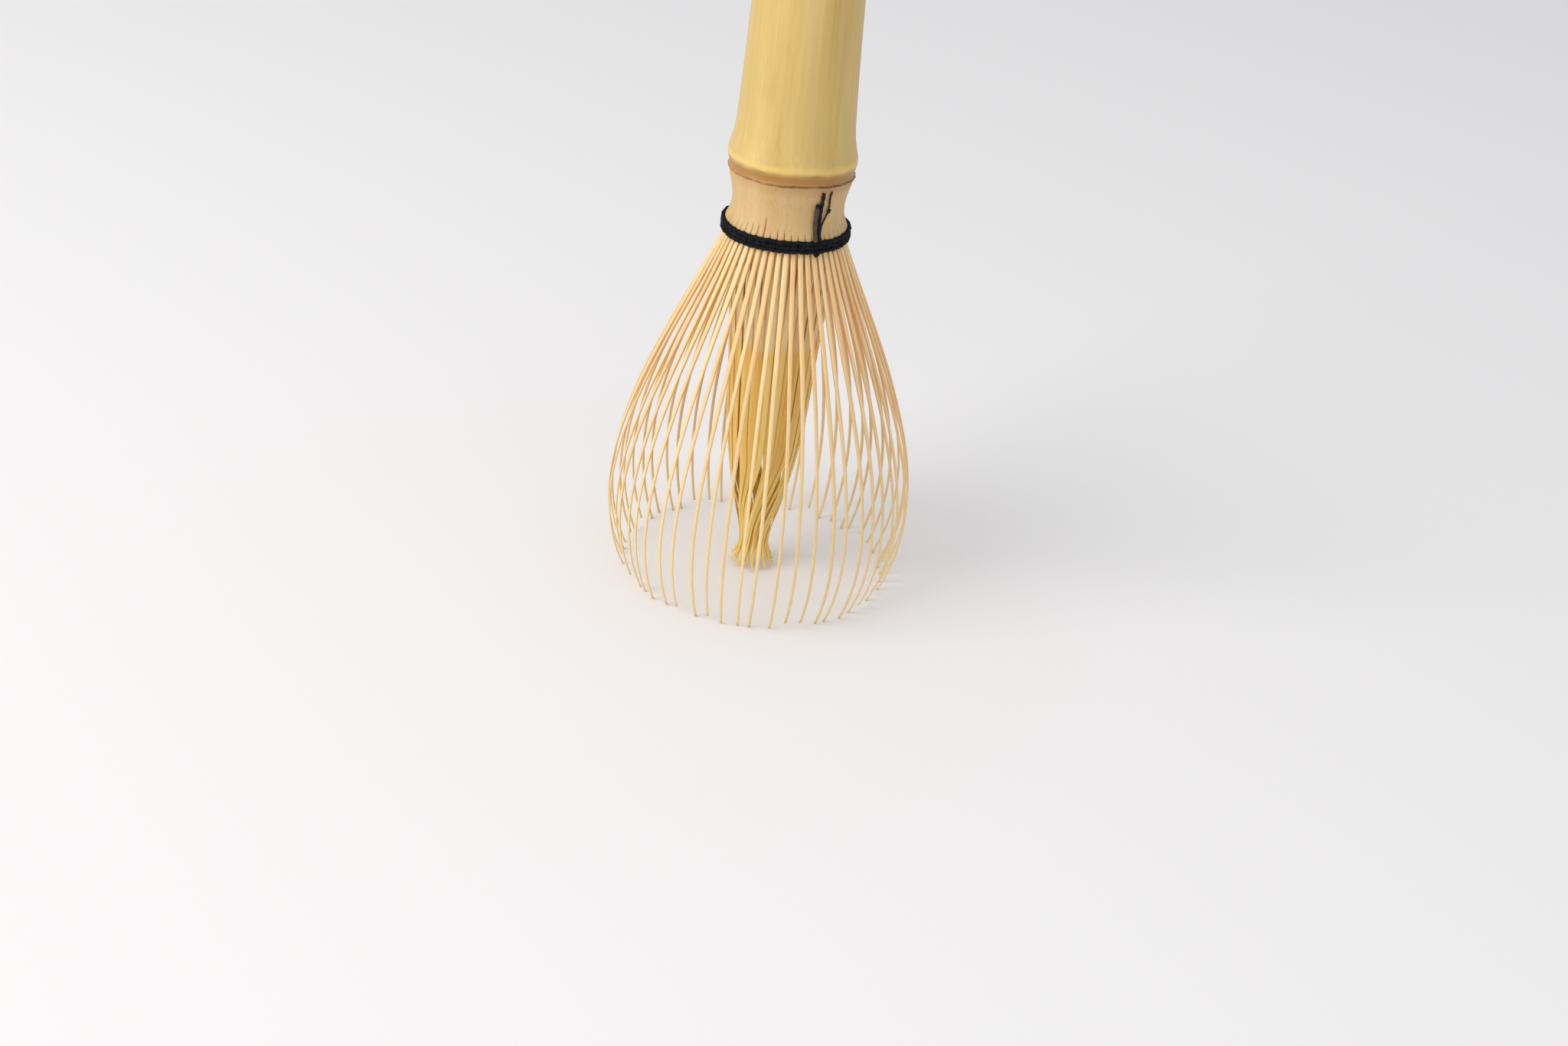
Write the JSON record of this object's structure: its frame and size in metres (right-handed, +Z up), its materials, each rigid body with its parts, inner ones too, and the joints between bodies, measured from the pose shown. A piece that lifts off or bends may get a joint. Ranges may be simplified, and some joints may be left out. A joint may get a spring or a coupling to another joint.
{
  "type": "bamboo tea whisk",
  "caption": "Bamboo tea whisk: a culm handle bound with thread, a round cage of fine curved outer tines and a gathered inner bundle.",
  "frame": {"origin": "centre of the ring of tine tips, on the plane that the tips stand on", "axes": "+Z runs up the axis of the handle; +X and +Y lie in the plane of the tips, and the loose ends of the thread are between -Y and +X"},
  "size_m": [0.056, 0.0565, 0.118],
  "materials": {
    "bamboo_culm": "smooth dry bamboo, satin skin",
    "bamboo_outer_tine": "shaved bamboo, pale and fibrous",
    "bamboo_inner_tine": "shaved bamboo, golden and fibrous",
    "thread": "twisted cotton thread, matt"
  },
  "bodies": {
    "culm": {"culm": "bamboo_culm", "binding_thread": "thread"},
    "outer_tine_01": {"outer_tine_01": "bamboo_outer_tine"},
    "outer_tine_02": {"outer_tine_02": "bamboo_outer_tine"},
    "outer_tine_03": {"outer_tine_03": "bamboo_outer_tine"},
    "outer_tine_04": {"outer_tine_04": "bamboo_outer_tine"},
    "outer_tine_05": {"outer_tine_05": "bamboo_outer_tine"},
    "outer_tine_06": {"outer_tine_06": "bamboo_outer_tine"},
    "outer_tine_07": {"outer_tine_07": "bamboo_outer_tine"},
    "outer_tine_08": {"outer_tine_08": "bamboo_outer_tine"},
    "outer_tine_09": {"outer_tine_09": "bamboo_outer_tine"},
    "outer_tine_10": {"outer_tine_10": "bamboo_outer_tine"},
    "outer_tine_11": {"outer_tine_11": "bamboo_outer_tine"},
    "outer_tine_12": {"outer_tine_12": "bamboo_outer_tine"},
    "outer_tine_13": {"outer_tine_13": "bamboo_outer_tine"},
    "outer_tine_14": {"outer_tine_14": "bamboo_outer_tine"},
    "outer_tine_15": {"outer_tine_15": "bamboo_outer_tine"},
    "outer_tine_16": {"outer_tine_16": "bamboo_outer_tine"},
    "outer_tine_17": {"outer_tine_17": "bamboo_outer_tine"},
    "outer_tine_18": {"outer_tine_18": "bamboo_outer_tine"},
    "outer_tine_19": {"outer_tine_19": "bamboo_outer_tine"},
    "outer_tine_20": {"outer_tine_20": "bamboo_outer_tine"},
    "outer_tine_21": {"outer_tine_21": "bamboo_outer_tine"},
    "outer_tine_22": {"outer_tine_22": "bamboo_outer_tine"},
    "outer_tine_23": {"outer_tine_23": "bamboo_outer_tine"},
    "outer_tine_24": {"outer_tine_24": "bamboo_outer_tine"},
    "outer_tine_25": {"outer_tine_25": "bamboo_outer_tine"},
    "outer_tine_26": {"outer_tine_26": "bamboo_outer_tine"},
    "outer_tine_27": {"outer_tine_27": "bamboo_outer_tine"},
    "outer_tine_28": {"outer_tine_28": "bamboo_outer_tine"},
    "outer_tine_29": {"outer_tine_29": "bamboo_outer_tine"},
    "outer_tine_30": {"outer_tine_30": "bamboo_outer_tine"},
    "outer_tine_31": {"outer_tine_31": "bamboo_outer_tine"},
    "outer_tine_32": {"outer_tine_32": "bamboo_outer_tine"},
    "outer_tine_33": {"outer_tine_33": "bamboo_outer_tine"},
    "outer_tine_34": {"outer_tine_34": "bamboo_outer_tine"},
    "outer_tine_35": {"outer_tine_35": "bamboo_outer_tine"},
    "outer_tine_36": {"outer_tine_36": "bamboo_outer_tine"},
    "outer_tine_37": {"outer_tine_37": "bamboo_outer_tine"},
    "outer_tine_38": {"outer_tine_38": "bamboo_outer_tine"},
    "outer_tine_39": {"outer_tine_39": "bamboo_outer_tine"},
    "outer_tine_40": {"outer_tine_40": "bamboo_outer_tine"},
    "outer_tine_41": {"outer_tine_41": "bamboo_outer_tine"},
    "outer_tine_42": {"outer_tine_42": "bamboo_outer_tine"},
    "outer_tine_43": {"outer_tine_43": "bamboo_outer_tine"},
    "outer_tine_44": {"outer_tine_44": "bamboo_outer_tine"},
    "outer_tine_45": {"outer_tine_45": "bamboo_outer_tine"},
    "outer_tine_46": {"outer_tine_46": "bamboo_outer_tine"},
    "outer_tine_47": {"outer_tine_47": "bamboo_outer_tine"},
    "outer_tine_48": {"outer_tine_48": "bamboo_outer_tine"},
    "outer_tine_49": {"outer_tine_49": "bamboo_outer_tine"},
    "outer_tine_50": {"outer_tine_50": "bamboo_outer_tine"},
    "outer_tine_51": {"outer_tine_51": "bamboo_outer_tine"},
    "outer_tine_52": {"outer_tine_52": "bamboo_outer_tine"},
    "outer_tine_53": {"outer_tine_53": "bamboo_outer_tine"},
    "outer_tine_54": {"outer_tine_54": "bamboo_outer_tine"},
    "inner_tines_1": {"inner_tines_1": "bamboo_inner_tine"},
    "inner_tines_2": {"inner_tines_2": "bamboo_inner_tine"},
    "inner_tines_3": {"inner_tines_3": "bamboo_inner_tine"},
    "inner_tines_4": {"inner_tines_4": "bamboo_inner_tine"}
  },
  "joints": [
    {"name": "outer_tine_01_bend", "type": "hinge", "parent": "culm", "child": "outer_tine_01", "pos_m": [0.0105, 0, 0.0666], "axis": [0, -1, -0.0056], "range_deg": [-6, 6], "stiffness_Nm_per_rad": 0.0025},
    {"name": "outer_tine_02_bend", "type": "hinge", "parent": "culm", "child": "outer_tine_02", "pos_m": [0.01043, 0.00122, 0.0666], "axis": [0.1161, -0.9932, -0.0011], "range_deg": [-6, 6], "stiffness_Nm_per_rad": 0.0025},
    {"name": "outer_tine_03_bend", "type": "hinge", "parent": "culm", "child": "outer_tine_03", "pos_m": [0.01022, 0.00242, 0.0666], "axis": [0.2306, -0.973, 0.0094], "range_deg": [-6, 6], "stiffness_Nm_per_rad": 0.0025},
    {"name": "outer_tine_04_bend", "type": "hinge", "parent": "culm", "child": "outer_tine_04", "pos_m": [0.00987, 0.00359, 0.0666], "axis": [0.342, -0.9397, -0.0016], "range_deg": [-6, 6], "stiffness_Nm_per_rad": 0.0025},
    {"name": "outer_tine_05_bend", "type": "hinge", "parent": "culm", "child": "outer_tine_05", "pos_m": [0.00938, 0.00471, 0.0666], "axis": [0.4488, -0.8936, 0.0032], "range_deg": [-6, 6], "stiffness_Nm_per_rad": 0.0025},
    {"name": "outer_tine_06_bend", "type": "hinge", "parent": "culm", "child": "outer_tine_06", "pos_m": [0.00877, 0.00577, 0.0666], "axis": [0.5495, -0.8355, -0.0029], "range_deg": [-6, 6], "stiffness_Nm_per_rad": 0.0025},
    {"name": "outer_tine_07_bend", "type": "hinge", "parent": "culm", "child": "outer_tine_07", "pos_m": [0.00804, 0.00675, 0.0666], "axis": [0.6428, -0.766, -0.0089], "range_deg": [-6, 6], "stiffness_Nm_per_rad": 0.0025},
    {"name": "outer_tine_08_bend", "type": "hinge", "parent": "culm", "child": "outer_tine_08", "pos_m": [0.00721, 0.00764, 0.0666], "axis": [0.7274, -0.6862, 0.0048], "range_deg": [-6, 6], "stiffness_Nm_per_rad": 0.0025},
    {"name": "outer_tine_09_bend", "type": "hinge", "parent": "culm", "child": "outer_tine_09", "pos_m": [0.00627, 0.00842, 0.0666], "axis": [0.8021, -0.5972, -0.0006], "range_deg": [-6, 6], "stiffness_Nm_per_rad": 0.0025},
    {"name": "outer_tine_10_bend", "type": "hinge", "parent": "culm", "child": "outer_tine_10", "pos_m": [0.00525, 0.00909, 0.0666], "axis": [0.866, -0.5, 0.0047], "range_deg": [-6, 6], "stiffness_Nm_per_rad": 0.0025},
    {"name": "outer_tine_11_bend", "type": "hinge", "parent": "culm", "child": "outer_tine_11", "pos_m": [0.00416, 0.00964, 0.0666], "axis": [0.9182, -0.3961, 0.0057], "range_deg": [-6, 6], "stiffness_Nm_per_rad": 0.0025},
    {"name": "outer_tine_12_bend", "type": "hinge", "parent": "culm", "child": "outer_tine_12", "pos_m": [0.00301, 0.01006, 0.0666], "axis": [0.958, -0.2868, -0.0084], "range_deg": [-6, 6], "stiffness_Nm_per_rad": 0.0025},
    {"name": "outer_tine_13_bend", "type": "hinge", "parent": "culm", "child": "outer_tine_13", "pos_m": [0.00182, 0.01034, 0.0666], "axis": [0.9848, -0.1736, -0.0001], "range_deg": [-6, 6], "stiffness_Nm_per_rad": 0.0025},
    {"name": "outer_tine_14_bend", "type": "hinge", "parent": "culm", "child": "outer_tine_14", "pos_m": [0.00061, 0.01048, 0.0666], "axis": [0.9983, -0.0581, -0.0037], "range_deg": [-6, 6], "stiffness_Nm_per_rad": 0.0025},
    {"name": "outer_tine_15_bend", "type": "hinge", "parent": "culm", "child": "outer_tine_15", "pos_m": [-0.00061, 0.01048, 0.0666], "axis": [0.9983, 0.0581, -0.0012], "range_deg": [-6, 6], "stiffness_Nm_per_rad": 0.0025},
    {"name": "outer_tine_16_bend", "type": "hinge", "parent": "culm", "child": "outer_tine_16", "pos_m": [-0.00182, 0.01034, 0.0666], "axis": [0.9848, 0.1736, 0.0102], "range_deg": [-6, 6], "stiffness_Nm_per_rad": 0.0025},
    {"name": "outer_tine_17_bend", "type": "hinge", "parent": "culm", "child": "outer_tine_17", "pos_m": [-0.00301, 0.01006, 0.0666], "axis": [0.958, 0.2868, -0.0018], "range_deg": [-6, 6], "stiffness_Nm_per_rad": 0.0025},
    {"name": "outer_tine_18_bend", "type": "hinge", "parent": "culm", "child": "outer_tine_18", "pos_m": [-0.00416, 0.00964, 0.0666], "axis": [0.9182, 0.3961, 0.0011], "range_deg": [-6, 6], "stiffness_Nm_per_rad": 0.0025},
    {"name": "outer_tine_19_bend", "type": "hinge", "parent": "culm", "child": "outer_tine_19", "pos_m": [-0.00525, 0.00909, 0.0666], "axis": [0.866, 0.5, -0.0022], "range_deg": [-6, 6], "stiffness_Nm_per_rad": 0.0025},
    {"name": "outer_tine_20_bend", "type": "hinge", "parent": "culm", "child": "outer_tine_20", "pos_m": [-0.00627, 0.00842, 0.0666], "axis": [0.8021, 0.5971, -0.0091], "range_deg": [-6, 6], "stiffness_Nm_per_rad": 0.0025},
    {"name": "outer_tine_21_bend", "type": "hinge", "parent": "culm", "child": "outer_tine_21", "pos_m": [-0.00721, 0.00764, 0.0666], "axis": [0.7274, 0.6862, 0.0056], "range_deg": [-6, 6], "stiffness_Nm_per_rad": 0.0025},
    {"name": "outer_tine_22_bend", "type": "hinge", "parent": "culm", "child": "outer_tine_22", "pos_m": [-0.00804, 0.00675, 0.0666], "axis": [0.6428, 0.766, 0.001], "range_deg": [-6, 6], "stiffness_Nm_per_rad": 0.0025},
    {"name": "outer_tine_23_bend", "type": "hinge", "parent": "culm", "child": "outer_tine_23", "pos_m": [-0.00877, 0.00577, 0.0666], "axis": [0.5495, 0.8355, 0.0031], "range_deg": [-6, 6], "stiffness_Nm_per_rad": 0.0025},
    {"name": "outer_tine_24_bend", "type": "hinge", "parent": "culm", "child": "outer_tine_24", "pos_m": [-0.00938, 0.00471, 0.0666], "axis": [0.4488, 0.8936, 0.0055], "range_deg": [-6, 6], "stiffness_Nm_per_rad": 0.0025},
    {"name": "outer_tine_25_bend", "type": "hinge", "parent": "culm", "child": "outer_tine_25", "pos_m": [-0.00987, 0.00359, 0.0666], "axis": [0.342, 0.9397, -0.0091], "range_deg": [-6, 6], "stiffness_Nm_per_rad": 0.0025},
    {"name": "outer_tine_26_bend", "type": "hinge", "parent": "culm", "child": "outer_tine_26", "pos_m": [-0.01022, 0.00242, 0.0666], "axis": [0.2306, 0.973, -0.0008], "range_deg": [-6, 6], "stiffness_Nm_per_rad": 0.0025},
    {"name": "outer_tine_27_bend", "type": "hinge", "parent": "culm", "child": "outer_tine_27", "pos_m": [-0.01043, 0.00122, 0.0666], "axis": [0.1161, 0.9932, -0.0015], "range_deg": [-6, 6], "stiffness_Nm_per_rad": 0.0025},
    {"name": "outer_tine_28_bend", "type": "hinge", "parent": "culm", "child": "outer_tine_28", "pos_m": [-0.0105, 0, 0.0666], "axis": [0, 1, -0.0013], "range_deg": [-6, 6], "stiffness_Nm_per_rad": 0.0025},
    {"name": "outer_tine_29_bend", "type": "hinge", "parent": "culm", "child": "outer_tine_29", "pos_m": [-0.01043, -0.00122, 0.0666], "axis": [-0.1161, 0.9932, 0.0105], "range_deg": [-6, 6], "stiffness_Nm_per_rad": 0.0025},
    {"name": "outer_tine_30_bend", "type": "hinge", "parent": "culm", "child": "outer_tine_30", "pos_m": [-0.01022, -0.00242, 0.0666], "axis": [-0.2306, 0.973, -0.0019], "range_deg": [-6, 6], "stiffness_Nm_per_rad": 0.0025},
    {"name": "outer_tine_31_bend", "type": "hinge", "parent": "culm", "child": "outer_tine_31", "pos_m": [-0.00987, -0.00359, 0.0666], "axis": [-0.342, 0.9397, -0.0011], "range_deg": [-6, 6], "stiffness_Nm_per_rad": 0.0025},
    {"name": "outer_tine_32_bend", "type": "hinge", "parent": "culm", "child": "outer_tine_32", "pos_m": [-0.00938, -0.00471, 0.0666], "axis": [-0.4488, 0.8936, -0.0014], "range_deg": [-6, 6], "stiffness_Nm_per_rad": 0.0025},
    {"name": "outer_tine_33_bend", "type": "hinge", "parent": "culm", "child": "outer_tine_33", "pos_m": [-0.00877, -0.00577, 0.0666], "axis": [-0.5495, 0.8355, -0.0088], "range_deg": [-6, 6], "stiffness_Nm_per_rad": 0.0025},
    {"name": "outer_tine_34_bend", "type": "hinge", "parent": "culm", "child": "outer_tine_34", "pos_m": [-0.00804, -0.00675, 0.0666], "axis": [-0.6428, 0.766, 0.0061], "range_deg": [-6, 6], "stiffness_Nm_per_rad": 0.0025},
    {"name": "outer_tine_35_bend", "type": "hinge", "parent": "culm", "child": "outer_tine_35", "pos_m": [-0.00721, -0.00764, 0.0666], "axis": [-0.7274, 0.6862, 0.0026], "range_deg": [-6, 6], "stiffness_Nm_per_rad": 0.0025},
    {"name": "outer_tine_36_bend", "type": "hinge", "parent": "culm", "child": "outer_tine_36", "pos_m": [-0.00627, -0.00842, 0.0666], "axis": [-0.8021, 0.5972, 0.0015], "range_deg": [-6, 6], "stiffness_Nm_per_rad": 0.0025},
    {"name": "outer_tine_37_bend", "type": "hinge", "parent": "culm", "child": "outer_tine_37", "pos_m": [-0.00525, -0.00909, 0.0666], "axis": [-0.866, 0.5, 0.0051], "range_deg": [-6, 6], "stiffness_Nm_per_rad": 0.0025},
    {"name": "outer_tine_38_bend", "type": "hinge", "parent": "culm", "child": "outer_tine_38", "pos_m": [-0.00416, -0.00964, 0.0666], "axis": [-0.9182, 0.3961, -0.0095], "range_deg": [-6, 6], "stiffness_Nm_per_rad": 0.0025},
    {"name": "outer_tine_39_bend", "type": "hinge", "parent": "culm", "child": "outer_tine_39", "pos_m": [-0.00301, -0.01006, 0.0666], "axis": [-0.958, 0.2868, -0.0015], "range_deg": [-6, 6], "stiffness_Nm_per_rad": 0.0025},
    {"name": "outer_tine_40_bend", "type": "hinge", "parent": "culm", "child": "outer_tine_40", "pos_m": [-0.00182, -0.01034, 0.0666], "axis": [-0.9848, 0.1736, 0.0007], "range_deg": [-6, 6], "stiffness_Nm_per_rad": 0.0025},
    {"name": "outer_tine_41_bend", "type": "hinge", "parent": "culm", "child": "outer_tine_41", "pos_m": [-0.00061, -0.01048, 0.0666], "axis": [-0.9983, 0.0581, -0.0013], "range_deg": [-6, 6], "stiffness_Nm_per_rad": 0.0025},
    {"name": "outer_tine_42_bend", "type": "hinge", "parent": "culm", "child": "outer_tine_42", "pos_m": [0.00061, -0.01048, 0.0666], "axis": [-0.9983, -0.0581, 0.0103], "range_deg": [-6, 6], "stiffness_Nm_per_rad": 0.0025},
    {"name": "outer_tine_43_bend", "type": "hinge", "parent": "culm", "child": "outer_tine_43", "pos_m": [0.00182, -0.01034, 0.0666], "axis": [-0.9848, -0.1736, -0.002], "range_deg": [-6, 6], "stiffness_Nm_per_rad": 0.0025},
    {"name": "outer_tine_44_bend", "type": "hinge", "parent": "culm", "child": "outer_tine_44", "pos_m": [0.00301, -0.01006, 0.0666], "axis": [-0.958, -0.2868, -0.0032], "range_deg": [-6, 6], "stiffness_Nm_per_rad": 0.0025},
    {"name": "outer_tine_45_bend", "type": "hinge", "parent": "culm", "child": "outer_tine_45", "pos_m": [0.00416, -0.00964, 0.0666], "axis": [-0.9182, -0.3961, -0.0005], "range_deg": [-6, 6], "stiffness_Nm_per_rad": 0.0025},
    {"name": "outer_tine_46_bend", "type": "hinge", "parent": "culm", "child": "outer_tine_46", "pos_m": [0.00525, -0.00909, 0.0666], "axis": [-0.866, -0.5, -0.0082], "range_deg": [-6, 6], "stiffness_Nm_per_rad": 0.0025},
    {"name": "outer_tine_47_bend", "type": "hinge", "parent": "culm", "child": "outer_tine_47", "pos_m": [0.00627, -0.00842, 0.0666], "axis": [-0.8021, -0.5971, 0.0063], "range_deg": [-6, 6], "stiffness_Nm_per_rad": 0.0025},
    {"name": "outer_tine_48_bend", "type": "hinge", "parent": "culm", "child": "outer_tine_48", "pos_m": [0.00721, -0.00764, 0.0666], "axis": [-0.7274, -0.6862, 0.0041], "range_deg": [-6, 6], "stiffness_Nm_per_rad": 0.0025},
    {"name": "outer_tine_49_bend", "type": "hinge", "parent": "culm", "child": "outer_tine_49", "pos_m": [0.00804, -0.00675, 0.0666], "axis": [-0.6428, -0.766, -0.0003], "range_deg": [-6, 6], "stiffness_Nm_per_rad": 0.0025},
    {"name": "outer_tine_50_bend", "type": "hinge", "parent": "culm", "child": "outer_tine_50", "pos_m": [0.00877, -0.00577, 0.0666], "axis": [-0.5495, -0.8355, 0.0045], "range_deg": [-6, 6], "stiffness_Nm_per_rad": 0.0025},
    {"name": "outer_tine_51_bend", "type": "hinge", "parent": "culm", "child": "outer_tine_51", "pos_m": [0.00938, -0.00471, 0.0666], "axis": [-0.4488, -0.8936, -0.0094], "range_deg": [-6, 6], "stiffness_Nm_per_rad": 0.0025},
    {"name": "outer_tine_52_bend", "type": "hinge", "parent": "culm", "child": "outer_tine_52", "pos_m": [0.00987, -0.00359, 0.0666], "axis": [-0.342, -0.9397, -0.0022], "range_deg": [-6, 6], "stiffness_Nm_per_rad": 0.0025},
    {"name": "outer_tine_53_bend", "type": "hinge", "parent": "culm", "child": "outer_tine_53", "pos_m": [0.01022, -0.00242, 0.0666], "axis": [-0.2306, -0.973, 0.0029], "range_deg": [-6, 6], "stiffness_Nm_per_rad": 0.0025},
    {"name": "outer_tine_54_bend", "type": "hinge", "parent": "culm", "child": "outer_tine_54", "pos_m": [0.01043, -0.00122, 0.0666], "axis": [-0.1161, -0.9932, -0.0013], "range_deg": [-6, 6], "stiffness_Nm_per_rad": 0.0025},
    {"name": "inner_tines_1_spread", "type": "hinge", "parent": "culm", "child": "inner_tines_1", "pos_m": [0.00636, 0.00636, 0.0665], "axis": [0.7071, -0.7071, 0], "range_deg": [0, 6], "stiffness_Nm_per_rad": 0.012},
    {"name": "inner_tines_2_spread", "type": "hinge", "parent": "culm", "child": "inner_tines_2", "pos_m": [-0.00636, 0.00636, 0.0665], "axis": [0.7071, 0.7071, 0], "range_deg": [0, 6], "stiffness_Nm_per_rad": 0.012},
    {"name": "inner_tines_3_spread", "type": "hinge", "parent": "culm", "child": "inner_tines_3", "pos_m": [-0.00636, -0.00636, 0.0665], "axis": [-0.7071, 0.7071, 0], "range_deg": [0, 6], "stiffness_Nm_per_rad": 0.012},
    {"name": "inner_tines_4_spread", "type": "hinge", "parent": "culm", "child": "inner_tines_4", "pos_m": [0.00636, -0.00636, 0.0665], "axis": [-0.7071, -0.7071, 0], "range_deg": [0, 6], "stiffness_Nm_per_rad": 0.012}
  ]
}
